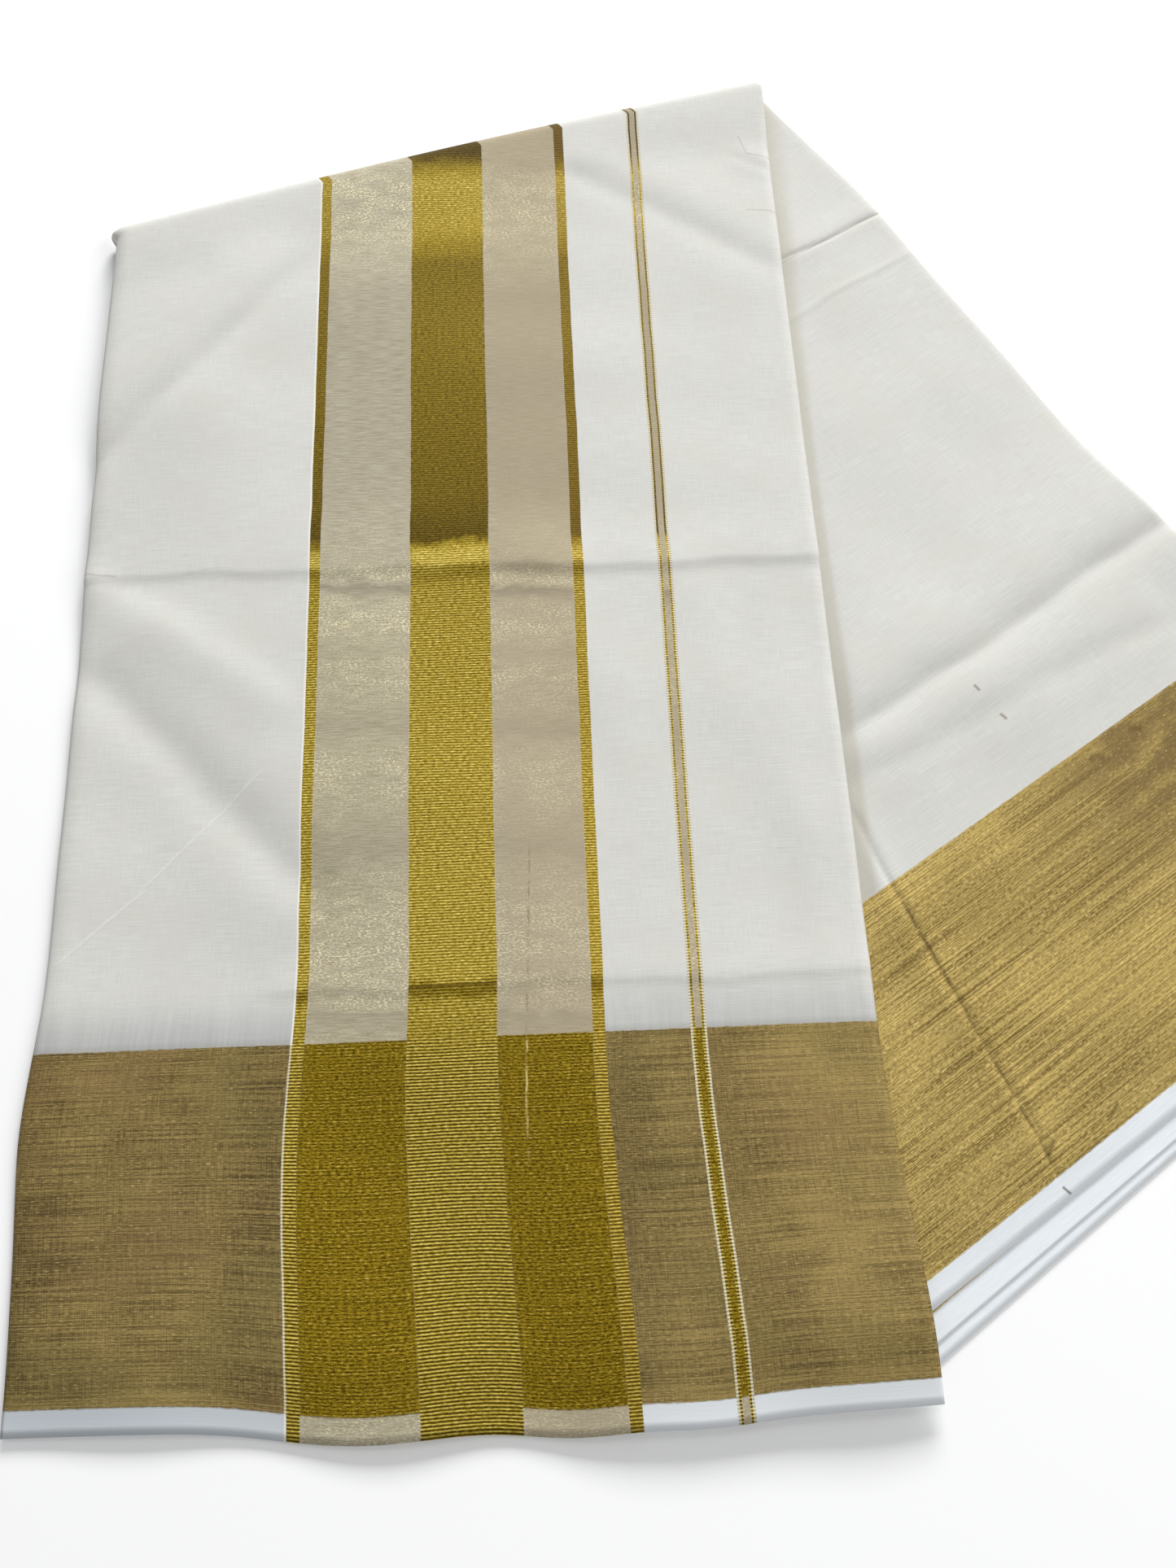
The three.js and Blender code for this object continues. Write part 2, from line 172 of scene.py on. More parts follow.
def rounded(t):
    """A quarter of an oval: 0 at t = 0, full by t = 1."""
    t = np.clip(t, 0, 1)
    return np.sqrt(1 - (1 - t) ** 2)


def near_full(s, u):
    """How much of the hidden layers' thickness lies under the pallu, rounding off at the selvedge and both folds."""
    return smooth(u / 30) * rounded((PANEL - s) / 9) * rounded((s + 0.6) / 6)


def along_run(s, u, start, end):
    """Distances along and aside of the run from start to end, wandering a little, and the run's length."""
    run_s, run_u = end[0] - start[0], end[1] - start[1]
    length = math.hypot(run_s, run_u)
    on = ((s - start[0]) * run_s + (u - start[1]) * run_u) / length
    aside = ((s - start[0]) * run_u - (u - start[1]) * run_s) / length
    return on, aside + 0.9 * np.sin(on / 19 + start[1]) + 0.5 * np.sin(on / 7.3 + start[1]), length


def run_ends(on, length, tail):
    """1 along a run, fading to 0 over the tail past each end."""
    return smooth((on + tail) / tail) * smooth((length + tail - on) / tail)


def ridge(s, u, start, end, rise, lower, upper, tail):
    """A ridge along a run: a bell on each side with its own half width, fading past the ends over the tail."""
    on, aside, length = along_run(s, u, start, end)
    width = np.where(aside > 0, lower, upper)
    return rise * bell(aside, width) * run_ends(on, length, tail)


def valley(s, u, start, end, rise, steep, broad, foot, share, tail):
    """A valley along a run: from its foot, which is rounded over a width, the cloth climbs fast and falls off slowly
    on the upper side, and climbs a share of that on the lower side."""
    on, aside, length = along_run(s, u, start, end)
    away = np.hypot(aside, foot) - foot
    above = bell(away, broad) - np.exp(-away / steep)
    below = share * (bell(away, 0.7 * broad) - np.exp(-away / (0.6 * steep)))
    return rise * np.where(aside > 0, below, above) * run_ends(on, length, tail)


def slack(s, u):
    """The cloth's own soft unevenness: a sum of slow waves that cross each other."""
    return (0.22 * np.sin(s / 17 + u / 31 + 0.4) + 0.20 * np.sin(s / 29 - u / 19 + 1.9)
            + 0.16 * np.sin(s / 11 + u / 83 + 3.1) * np.sin(u / 47 + 0.7) + 0.14 * np.sin(s / 53 - u / 9.5 + 5.0))


# Pressed creases and drag ridges of the near half, each from the right to the left so that lower is the near side.
# Columns: start (s, u), end (s, u), rise, half width below, half width above, tail.
NEAR_RIDGES = (
    ((-20, 351), (130, 351), 1.2, 4.5, 20, 30),
    ((130, 351), (365, 355), 0.9, 4.0, 20, 30),
    ((-10, 158), (240, 158), 0.5, 3.0, 9, 20),
    ((252, 288), (345, 351), 1.4, 15, 10, 20),
    ((100, 470), (190, 455), 0.8, 26, 26, 60),
    ((96, 262), (120, 332), 0.7, 12, 16, 40),
    ((30, 236), (60, 330), 0.6, 14, 14, 40),
    ((18, 170), (26, 300), 0.7, 10, 12, 40),
)

# Valleys of the near half, from the right to the left.
# Columns: start (s, u), end (s, u), rise, steep width, broad width, width of the foot, share on the lower side, tail.
NEAR_VALLEYS = (
    ((262, 512), (348, 408), 4.3, 9, 46, 2.5, 0.35, 50),
    ((238, 204), (334, 300), 3.8, 14, 34, 8, 0.5, 30),
    ((12, 526), (104, 587), 2.6, 9, 28, 5, 0.25, 24),
    ((104, 587), (168, 592), 1.5, 10, 24, 5, 0.2, 30),
    ((2, 587), (18, 598), 1.3, 2.5, 9, 0.6, 0.5, 5),
    ((318, 548), (340, 536), 1.0, 6, 12, 2, 0.6, 14),
)


def near_relief(s, u):
    """The sum of the ridges, the valleys and the slack, with soft waves along the near selvedge and fine flutes above
    the border."""
    rise = sum(ridge(s, u, *row) for row in NEAR_RIDGES) + sum(valley(s, u, *row) for row in NEAR_VALLEYS)
    wave = 1.0 * (1 + np.sin(2 * np.pi * s / 94 + 0.9)) * smooth(1 - u / 110)
    flute = 0.12 * np.sin(s / 2.1 + 0.8 * np.sin(s / 9)) * bell(u - 143, 12)
    return rise + wave + flute + 0.5 + slack(s, u)


# The far half's ridges and valleys, with the same columns. The last one runs along the panel, across the border.
FAR_RIDGES = (
    ((-20, 394), (120, 393), 0.35, 1.6, 2.4, 40),
    ((20, 300), (60, 330), 0.6, 24, 24, 40),
)
FAR_VALLEYS = (
    ((-20, 424), (75, 425), 1.1, 1.2, 12, 0.5, 0.6, 20),
    ((-20, 199), (215, 198), 4.2, 9, 38, 2.5, 0.5, 20),
    ((44, 162), (215, 180), 1.9, 8, 19, 3, 0.4, 16),
    ((217, 168), (238, 20), 1.1, 2, 10, 0.5, 0.7, 14),
)


def beside_near(s, b):
    """How far a place on the far half lies outside the near half's right-hand edge, in millimetres."""
    x, y = far_plan(s, b)
    run_x, run_y = FOLD_RIGHT[0] - NEAR_CORNER[0], FOLD_RIGHT[1] - NEAR_CORNER[1]
    return ((x - NEAR_CORNER[0]) * run_y - (y - NEAR_CORNER[1]) * run_x) / math.hypot(run_x, run_y)


def far_relief(s, b):
    """The sum of the far half's ridges, valleys and slack, gone where the near half covers it."""
    rise = sum(ridge(s, b, *row) for row in FAR_RIDGES) + sum(valley(s, b, *row) for row in FAR_VALLEYS)
    shown = smooth((beside_near(s, b) + 10) / 16) * rounded(s / 5) * smooth(b / 12)
    return (rise + 0.5 + slack(b, s)) * shown


def turn_full(s):
    """The turn's height as a share of its full height, rounding off at the left-hand fold."""
    return mix(0.55, 1.0, rounded((PANEL - s) / 9))


def turn_lift(s, u):
    """How far the near half has risen to the turn: 0 away from it, rising in an S to 1."""
    return smooth(1 - (near_length(s) - u) / LIFT_LENGTH)


def pallu_height(s, u):
    """Height of the pallu's upper face on the near half, rising to the turn."""
    flat = near_base(s, u) + 0.3 + LAYERS * near_full(s, u) + 1.0
    lift = turn_lift(s, u)
    return mix(flat, 2 * TURN_HEIGHT * turn_full(s), lift) + near_relief(s, u) * (1 - lift)


def turn_place(s, depth, angle):
    """Half an oval round the fold's axis, at a depth under the pallu's outer face."""
    out = (TURN_REACH - depth) * np.sin(angle)
    x, y = fold_point(s)
    shift = out * math.tan(SLANT)
    return (x + FOLD_OUT[0] * out + FOLD_WAY[0] * shift, y + FOLD_OUT[1] * out + FOLD_WAY[1] * shift,
            (TURN_HEIGHT + (TURN_HEIGHT - depth) * np.cos(angle)) * turn_full(s))


def turn_share(s, b):
    """How near the far half's place is to the turn: 0 away from it, rising in an S to 1."""
    return smooth((b - far_length(s) + 62) / 42)


def third_out(s):
    """How far the third body layer's selvedge lies past the first one's."""
    return 6 + 0.03 * s


def second_out(s):
    """How far the second body layer's selvedge lies past the first one's."""
    return 0.64 * third_out(s)


def selvedge_drop(b):
    """How far the two upper body layers have come down near their selvedges: 1 at b = 0 and past it."""
    return smooth(1 - b / 34)


def second_height(s, b):
    """Underside of the second body layer, thinning out at the selvedge and rounding off at the open fold."""
    full = smooth((b + second_out(s)) / 50) * mix(rounded((s + 0.5) / 7), 1.0, turn_share(s, b))
    return 1.6 + mix(1.0, 1.8, full)


# ---- Meshes
def steps(start, stop, step):
    """Even places from start to stop, about a step apart."""
    return np.linspace(start, stop, max(2, int(round(abs(stop - start) / step)) + 1))


def grid_mesh(name, places, weave, thick):
    """A closed sheet from a grid of places in millimetres: the upper face as given, the lower face moved back along
    the normals, and a rim between them. weave holds each place's distance across and along the cloth."""
    rows, columns = places.shape[:2]
    up = np.gradient(places, axis=0)
    across = np.gradient(places, axis=1)
    normal = np.cross(up, across)
    normal /= np.linalg.norm(normal, axis=2, keepdims=True)
    lower = places - normal * thick
    points = np.concatenate([places.reshape(-1, 3), lower.reshape(-1, 3)])
    points[:, 0] -= MIDDLE[0]
    points[:, 1] -= MIDDLE[1]
    index = np.arange(rows * columns).reshape(rows, columns)
    under = index + rows * columns
    top = np.stack([index[:-1, :-1], index[1:, :-1], index[1:, 1:], index[:-1, 1:]], axis=-1).reshape(-1, 4)
    bottom = np.stack([under[:-1, :-1], under[:-1, 1:], under[1:, 1:], under[1:, :-1]], axis=-1).reshape(-1, 4)
    rim = np.concatenate([index[0, :-1], index[:-1, -1], index[-1, :0:-1], index[:0:-1, 0]])
    onward = np.roll(rim, -1)
    side = np.stack([rim, onward, onward + rows * columns, rim + rows * columns], axis=-1)
    faces = np.concatenate([top, bottom, side]).astype(np.int32)
    mesh = bpy.data.meshes.new(name)
    mesh.vertices.add(len(points))
    mesh.vertices.foreach_set("co", (points * 0.001).astype(np.float32).ravel())
    mesh.loops.add(faces.size)
    mesh.loops.foreach_set("vertex_index", faces.ravel())
    mesh.polygons.add(len(faces))
    mesh.polygons.foreach_set("loop_start", np.arange(0, faces.size, 4, dtype=np.int32))
    mesh.polygons.foreach_set("use_smooth", np.ones(len(faces), dtype=bool))
    layer = mesh.uv_layers.new(name="weave")
    flat = np.concatenate([weave.reshape(-1, 2), weave.reshape(-1, 2)])
    layer.data.foreach_set("uv", (flat[faces.ravel()] * 0.001).astype(np.float32).ravel())
    mesh.update(calc_edges=True)
    mesh.validate()
    piece = bpy.data.objects.new(name, mesh)
    bpy.context.collection.objects.link(piece)
    return piece


def joined_mesh(name, places, weave, thick):
    """One closed sheet from several grids that follow on from each other."""
    return grid_mesh(name, np.concatenate(places), np.concatenate(weave), thick)


def stacked(*layers):
    """One array of points from an array for each of their values."""
    return np.stack(np.broadcast_arrays(*layers), axis=-1)


def rows_to(ends, low, count):
    """Rows across a panel: the given distances from the selvedge, then even steps on to each column's end."""
    below = np.broadcast_to(low[:, None], (len(low), len(ends)))
    above = mix(low[-1], ends[None, :], np.linspace(0, 1, count + 1)[1:, None])
    return np.concatenate([below, above])


def pallu():
    """The pallu as one sheet: up the near half, round the turn, and down under the far half to its far selvedge."""
    s = np.concatenate([np.linspace(0, 7, 8), steps(10, 332, 3.5), np.linspace(335, PANEL, 9)])
    low = np.concatenate([steps(0, 145, 3.2), steps(147, 164, 1.0), steps(167, 338, 3.2), steps(340, 360, 0.9),
                          steps(363, 400, 3.2)])
    u = rows_to(near_length(s), low, 75)
    across = np.broadcast_to(s, u.shape)
    x, y = near_plan(across, u)
    near = stacked(x, y, pallu_height(across, u))
    near_weave = stacked(PANEL - across, u)
    angle = np.linspace(0, np.pi, 19)[1:, None]
    turn_s = np.broadcast_to(s, (len(angle), len(s)))
    turn = stacked(*turn_place(turn_s, 0.0, angle))
    turn_weave = stacked(PANEL - turn_s, near_length(turn_s) + TURN_LENGTH * angle / np.pi)
    up = np.linspace(1, 0, 52)[1:, None]
    b = mix(3.0, far_length(s)[None, :], up)
    far_s = np.broadcast_to(s, b.shape)
    x, y = far_plan(far_s, b)
    far = stacked(x, y, 0.02)
    far_weave = stacked(PANEL - far_s, mix(PALLU_LENGTH, near_length(far_s) + TURN_LENGTH, up))
    return joined_mesh("pallu", (near, turn, far), (near_weave, turn_weave, far_weave), CLOTH)


def body_top():
    """The body cloth that shows on the far half, from its selvedge to the fold."""
    s = np.concatenate([np.linspace(0, 7, 8), steps(10, 208, 3.4), steps(210, 244, 1.0), steps(248, 341, 4)])
    low = np.concatenate([steps(0, 190, 3.4), steps(192, 208, 1.2), steps(211, 388, 3.4), steps(389, 398, 1.0),
                          steps(401, 419, 3), steps(420, 431, 0.8)])
    b = rows_to(far_length(s) - 1, low, 26)
    across = np.broadcast_to(s, b.shape)
    x, y = far_plan(across, b)
    z = second_height(across, b) + 2.3 - 2.5 * selvedge_drop(b) + far_relief(across, b)
    piece = grid_mesh("body_top", stacked(x, y, z), stacked(across, b), CLOTH)
    beside = piece.data.attributes.new("beside", "FLOAT", "POINT")
    outside = BESIDE_BASE + np.clip(beside_near(across, b), -0.4 * BESIDE_BASE, 60).ravel()
    beside.data.foreach_set("value", np.concatenate([outside, outside]).astype(np.float32))
    return piece


def lower_rows(s, out, shares, inner):
    """Rows of a lower body layer: shares of the way from its selvedge to a place inward, then on to the fold."""
    rim = mix(-out[None, :], inner, shares[:, None])
    rest = mix(inner, far_length(s)[None, :] - 1, np.linspace(0, 1, 76)[1:, None])
    return np.concatenate([rim, rest])


def body_second():
    """The body layer below, whose selvedge shows past body_top's."""
    s = np.concatenate([np.linspace(1.0, 12, 6), steps(20, 341, 8)])
    b = lower_rows(s, second_out(s), np.array([0, 0.1, 0.25, 0.4, 0.6, 0.8, 1]), 0.0)
    across = np.broadcast_to(s, b.shape)
    x, y = far_plan(across, b)
    beyond = 0.3 * np.clip(-b / second_out(across), 0, 1)
    z = second_height(across, b) + 0.9 - 1.9 * selvedge_drop(b) - beyond + 0.7 * far_relief(across, b)
    return grid_mesh("body_second", stacked(x, y, z), stacked(across, b + second_out(across)), CLOTH)


def body_third():
    """The body layer under the folded ones. It lies on the pallu, and its selvedge shows past body_second's."""
    s = steps(0.8, 341, 8)
    b = lower_rows(s, third_out(s), np.linspace(0, 1, 8), 3.0)
    across = np.broadcast_to(s, b.shape)
    x, y = far_plan(across, b)
    inward = (b + third_out(across)) / (3.0 + third_out(across))
    z = mix(0.55, 1.07, smooth(inward))
    return grid_mesh("body_third", stacked(x, y, z), stacked(across, b + third_out(across)), CLOTH)


FOLDED_PANELS = 3  # how many panels stand for the hidden layers
FOLDED_DEPTH = 1.3  # their depth under the pallu's outer face at the turn
FOLDED_SHIFT = 0.17  # how far their outer faces are moved out


def folded_layers():
    """The layers between, as one sheet folded to and fro: each panel lies on the last one, and a half circle at each
    side turns it. Every panel runs up the near half, round the turn, and down the far half."""
    panel = steps(6, PANEL - 7, 12)
    low, high = 13, 560
    rows_near = np.concatenate([steps(low, 60, 6), steps(72, high, 12)])
    columns, depth = [], []
    for number in range(FOLDED_PANELS):
        run = panel if number % 2 == 0 else panel[::-1]
        columns.append(run)
        depth.append(np.full(len(run), (number + 0.5) / FOLDED_PANELS))
        if number + 1 < FOLDED_PANELS:
            angle = np.linspace(0, np.pi, 7)[1:-1]
            side = 1 if number % 2 == 0 else -1
            columns.append(run[-1] + side * np.sin(angle) * 1.2)
            depth.append((number + 0.5 + (1 - np.cos(angle)) / 2) / FOLDED_PANELS)
    s = np.concatenate(columns)
    share = np.concatenate(depth)[None, :]
    u = mix(low, near_length(s)[None, :], (rows_near[:, None] - low) / (high - low))
    across = np.broadcast_to(s, u.shape)
    x, y = near_plan(across, u)
    lift = turn_lift(across, u)
    base = near_base(across, u)
    turn_top = 2 * TURN_HEIGHT - FOLDED_DEPTH
    top = mix(base + LAYERS * near_full(across, u), turn_top, lift)
    bottom = mix(base, turn_top - LAYERS, lift)
    follow = near_relief(across, u) * (1 - share) * 0.9 * (1 - lift)
    near = stacked(x, y, mix(top, bottom, share) + follow + FOLDED_SHIFT)
    angle = np.linspace(0, np.pi, 13)[1:, None]
    turn_s = np.broadcast_to(s, (len(angle), len(s)))
    turn_depth = FOLDED_DEPTH + share * mix(LAYERS, 1.8, angle / np.pi) - FOLDED_SHIFT
    turn = stacked(*turn_place(turn_s, turn_depth, angle))
    b = mix(26.0, far_length(s)[None, :], np.linspace(1, 0, 46)[1:, None])
    far_s = np.broadcast_to(s, b.shape)
    x, y = far_plan(far_s, b)
    far = stacked(x, y, mix(1.3, second_height(far_s, b) - 0.3 - 1.2 * selvedge_drop(b), share) - 0.1)
    run = np.concatenate([[0], np.cumsum(np.hypot(np.diff(s), np.diff(share[0]) * LAYERS))])
    near_weave = stacked(run, u)
    turn_weave = stacked(run, near_length(turn_s) + INNER_TURN * angle / np.pi)
    far_weave = stacked(run, near_length(far_s) + INNER_TURN + far_length(far_s) - b)
    return joined_mesh("folded_layers", (near, turn, far), (near_weave, turn_weave, far_weave), INNER_CLOTH)


# ---- Materials
class Weave:
    """A tree of shader nodes with short ways to place them. An argument is a number, a colour or another node's
    socket."""

    def __init__(self, tree):
        self.tree = tree

    def give(self, socket, value):
        """Links a socket to an input, or sets the input's value. A colour is opaque."""
        if isinstance(value, bpy.types.NodeSocket):
            self.tree.links.new(value, socket)
        else:
            socket.default_value = (*value, 1) if isinstance(value, tuple) else value

    def put(self, kind, inputs=(), **settings):
        """A new node with its settings and inputs."""
        node = self.tree.nodes.new(kind)
        for name, value in settings.items():
            setattr(node, name, value)
        for key, value in dict(inputs).items():
            self.give(node.inputs[key], value)
        return node

    def count(self, operation, *values):
        """The result of one arithmetic step, repeated on the result for each value after the second."""
        result = self.put("ShaderNodeMath", dict(enumerate(values[:2])), operation=operation).outputs[0]
        return self.count(operation, result, *values[2:]) if len(values) > 2 else result

    def sum(self, *values):
        """All values added up."""
        return self.count("ADD", *values)

    def less(self, a, b):
        """a - b."""
        return self.count("SUBTRACT", a, b)

    def times(self, *values):
        """All values multiplied."""
        return self.count("MULTIPLY", *values)

    def most(self, *values):
        """The greatest of the values."""
        return self.count("MAXIMUM", *values)

    def shares(self, *parts):
        """The sum of values, each times its share."""
        return self.sum(*(self.times(value, share) for value, share in parts))

    def wave(self, noise, reach):
        """A noise spread about 0, as a distance to each side."""
        return self.times(self.less(noise, 0.5), reach)

    def ramp(self, value, low, high, to_low=0, to_high=1):
        """A soft rise from to_low to to_high while the value goes from low to high."""
        return self.put("ShaderNodeMapRange", {"Value": value, "From Min": low, "From Max": high,
                                               "To Min": to_low, "To Max": to_high},
                        interpolation_type="SMOOTHSTEP").outputs[0]

    def blend(self, share, a, b):
        """The colour a share of the way from a to b."""
        node = self.put("ShaderNodeMix", data_type="RGBA")
        for key, value in ((0, share), (6, a), (7, b)):
            self.give(node.inputs[key], value)
        return node.outputs[2]

    def group(self, tree, **inputs):
        """A node of a shared group, its inputs named with _ for each space."""
        node = self.put("ShaderNodeGroup")
        node.node_tree = tree
        for key, value in inputs.items():
            self.give(node.inputs[key.replace("_", " ")], value)
        return node.outputs[0]


def new_group(name, inputs, output):
    """An empty shared group with the given inputs and one output, all numbers."""
    tree = bpy.data.node_groups.new(name, "ShaderNodeTree")
    for key, default in inputs:
        tree.interface.new_socket(name=key, in_out="INPUT", socket_type="NodeSocketFloat").default_value = default
    tree.interface.new_socket(name=output, in_out="OUTPUT", socket_type="NodeSocketFloat")
    weave = Weave(tree)
    return tree, weave, weave.put("NodeGroupInput").outputs, weave.put("NodeGroupOutput").inputs[output]


def threads_group():
    """Uneven threads: noise drawn out to a length along one way of the cloth and a width across it."""
    tree, weave, given, out = new_group(
        "uneven_threads", (("Along", 0), ("Across", 0), ("Length", 10), ("Width", 0.4), ("Detail", 2),
                           ("Seed", 0)), "Value")
    place = weave.put("ShaderNodeCombineXYZ", {0: weave.count("DIVIDE", given["Along"], given["Length"]),
                                               1: weave.count("DIVIDE", given["Across"], given["Width"]),
                                               2: given["Seed"]}).outputs[0]
    noise = weave.put("ShaderNodeTexNoise", {"Vector": place, "Scale": 1, "Detail": given["Detail"],
                                             "Roughness": 0.6})
    weave.give(out, noise.outputs[0])
    return tree


def band_group():
    """A woven band: 1 between two places on the cloth, with soft edges."""
    tree, weave, given, out = new_group(
        "woven_band", (("Place", 0), ("Start", 0), ("End", 1), ("Softness", 0.3)), "Mask")
    rising = weave.ramp(given["Place"], weave.less(given["Start"], given["Softness"]),
                        weave.sum(given["Start"], given["Softness"]))
    falling = weave.ramp(given["Place"], weave.less(given["End"], given["Softness"]),
                         weave.sum(given["End"], given["Softness"]), 1, 0)
    weave.give(out, weave.times(rising, falling))
    return tree


def line_group():
    """A fine crease or stray thread: 1 on a straight run between two places of the cloth, fading to 0 over its width
    and towards its ends. It wanders to each side by a given distance."""
    tree, weave, given, out = new_group(
        "fine_line", (("Across", 0), ("Along", 0), ("Start Across", 0), ("Start Along", 0),
                      ("End Across", 1), ("End Along", 1), ("Width", 1), ("Wander", 0)), "Mask")
    run_across = weave.less(given["End Across"], given["Start Across"])
    run_along = weave.less(given["End Along"], given["Start Along"])
    from_across = weave.less(given["Across"], given["Start Across"])
    from_along = weave.less(given["Along"], given["Start Along"])
    square = weave.sum(weave.times(run_across, run_across), weave.times(run_along, run_along))
    inward = weave.sum(weave.times(from_across, run_across), weave.times(from_along, run_along))
    turned = weave.less(weave.times(from_across, run_along), weave.times(from_along, run_across))
    on = weave.count("DIVIDE", inward, square)
    aside = weave.count("DIVIDE", turned, weave.count("SQRT", square))
    aside = weave.count("ABSOLUTE", weave.sum(aside, given["Wander"]))
    beside = weave.ramp(aside, 0, given["Width"], 1, 0)
    ends = weave.times(weave.ramp(on, 0, 0.12), weave.ramp(on, 0.88, 1, 1, 0))
    weave.give(out, weave.times(beside, ends))
    return tree


def tone_ramp(weave, place, stops):
    """A ramp through given stops of place in millimetres and tone."""
    ramp = weave.put("ShaderNodeValToRGB", {0: weave.times(place, 1 / TONE_REACH)})
    elements = ramp.color_ramp.elements
    while len(elements) < len(stops):
        elements.new(0.5)
    for element, (at, tone) in zip(elements, stops):
        element.position = at / TONE_REACH
        element.color = (tone, tone, tone, 1)
    return ramp.outputs[0]


def tone_group(name, stops):
    """Painted sheen and shade along the cloth: how brightly the gold threads catch the light, its changes ragged by a
    noise.
    """
    tree, weave, given, out = new_group(name, (("Along", 0), ("Across", 0)), "Tone")
    ragged = weave.group(GROUPS["threads"], Along=given["Along"], Across=given["Across"], Length=9, Width=16,
                         Detail=3, Seed=41)
    weave.give(out, tone_ramp(weave, weave.sum(given["Along"], weave.wave(ragged, 14)), stops))
    return tree


# Bands of the pallu across a panel, in millimetres from its left-hand fold.
NARROW_LEFT = (108, 113)
TISSUE_LEFT = (113, 155)
THICK = (155, 192)
TISSUE_RIGHT = (192, 230.5)
NARROW_RIGHT = (230.5, 235.5)
LINES = (269.8, 276.3)
RIB_PITCH = 1.22
TONE_REACH = 700

# Painted sheen and shade of the thick gold band from the near selvedge to the turn, as a tone. Columns: place in
# millimetres, tone.
GOLD_STOPS = ((0, 0.46), (128, 0.50), (150, 0.62), (157, 0.30), (160, 0.66), (200, 0.66), (340, 0.56), (349, 0.40),
              (352, 0.78), (360, 0.74), (366, 0.14), (390, 0.24), (470, 0.33), (530, 0.31), (552, 0.62), (584, 0.72),
              (602, 0.10), (636, 0))
# Painted sheen and shade of the tissue bands, as a tone, brighter in rows where the gold threads catch the light.
TISSUE_STOPS = ((0, 0.50), (138, 0.50), (156, 0.34), (160, 0.58), (196, 0.62), (226, 0.36), (262, 0.58),
                (280, 0.34), (306, 0.60), (318, 0.40), (330, 0.64), (343, 0.52), (350, 0.22), (354, 0.72),
                (364, 0.44), (400, 0.36), (520, 0.34), (556, 0.56), (588, 0.74), (606, 0.42), (640, 0.30))

# Painted shading and sheen of the pallu's border across a panel, as a tone, above and below its middle: place in
# millimetres, tone.
BORDER_UPPER = ((0, 0.38), (14, 0.37), (30, 0.46), (60, 0.48), (80, 0.54), (97, 0.34), (108, 0.42), (236, 0.43),
                (248, 0.36), (262, 0.52), (286, 0.52), (306, 0.84), (330, 1), (345, 0.85))
BORDER_LOWER = ((0, 0.28), (18, 0.34), (34, 0.54), (66, 0.62), (80, 0.54), (90, 0.34), (108, 0.36), (236, 0.46),
                (254, 0.74), (270, 0.62), (298, 0.52), (316, 0.80), (330, 0.76), (345, 0.58))

GROUPS = {"threads": threads_group(), "band": band_group(), "line": line_group()}
GROUPS["gold_tone"] = tone_group("gold_tone", GOLD_STOPS)
GROUPS["tissue_tone"] = tone_group("tissue_tone", TISSUE_STOPS)


class Cloth(Weave):
    """The tree of a cloth, with the threads' places across and along the sheet in millimetres from its UV map. The
    warp runs across a panel and the weft along it."""

    def __init__(self, tree):
        super().__init__(tree)
        places = self.put("ShaderNodeUVMap", uv_map="weave").outputs[0]
        places = self.put("ShaderNodeVectorMath", {0: places, "Scale": 1000}, operation="SCALE").outputs[0]
        self.across, self.along = self.put("ShaderNodeSeparateXYZ", {0: places}).outputs[:2]
        self.wander = self.wave(self.warp(9, 9, 2, 51), 1.6)

    def threads(self, along, across, length, width, detail, seed):
        """Uneven threads that run along one place and lie side by side across another."""
        return self.group(GROUPS["threads"], Along=along, Across=across, Length=length, Width=width, Detail=detail,
                          Seed=seed)

    def warp(self, *row):
        """Uneven warp threads of a length, width, detail and seed."""
        return self.threads(self.across, self.along, *row)

    def weft(self, *row):
        """Uneven weft threads, in the same terms."""
        return self.threads(self.along, self.across, *row)

    def band(self, place, start, end, softness=0.3):
        """A band between two places."""
        return self.group(GROUPS["band"], Place=place, Start=start, End=end, Softness=softness)

    def line(self, start, end, width):
        """A fine line between two places (across, along)."""
        return self.group(GROUPS["line"], Across=self.across, Along=self.along, Start_Across=start[0],
                          Start_Along=start[1], End_Across=end[0], End_Along=end[1], Width=width,
                          Wander=self.wander)

    def lines(self, *rows):
        """Several fine lines together."""
        return self.most(*(self.line(*row) for row in rows))


def cotton(cloth):
    """Cream cotton: fine slubs both ways, faint clouds and a few thick slubs. Gives its colour and its slubs."""
    slubs = cloth.shares((cloth.warp(14, 0.45, 3, 1), 0.6), (cloth.weft(9, 0.5, 3, 5), 0.4))
    colour = cloth.blend(cloth.ramp(slubs, 0.36, 0.64), (0.60, 0.595, 0.56), (0.685, 0.68, 0.645))
    clouds = cloth.times(cloth.ramp(cloth.warp(34, 26, 3, 9), 0.42, 0.68), 0.45)
    colour = cloth.blend(clouds, colour, (0.62, 0.605, 0.55))
    thick_slubs = cloth.times(cloth.ramp(cloth.warp(26, 0.8, 1, 14), 0.70, 0.80), 0.5)
    return cloth.blend(thick_slubs, colour, (0.74, 0.735, 0.70)), slubs


def ragged_edge(cloth):
    """The place along the cloth, ragged by a thread's width, and the mask of the selvedge short of the border."""
    edge = cloth.sum(cloth.along, cloth.wave(cloth.warp(3, 1, 2, 3), 0.9))
    return edge, cloth.ramp(edge, SELVEDGE - 0.5, SELVEDGE + 0.3, 1, 0)


def zari(cloth, long, short, weft):
    """A border's threads: long and short warp threads, and fewer weft ones."""
    return cloth.shares((long, 0.45), (short, 0.33), (weft, 0.22))


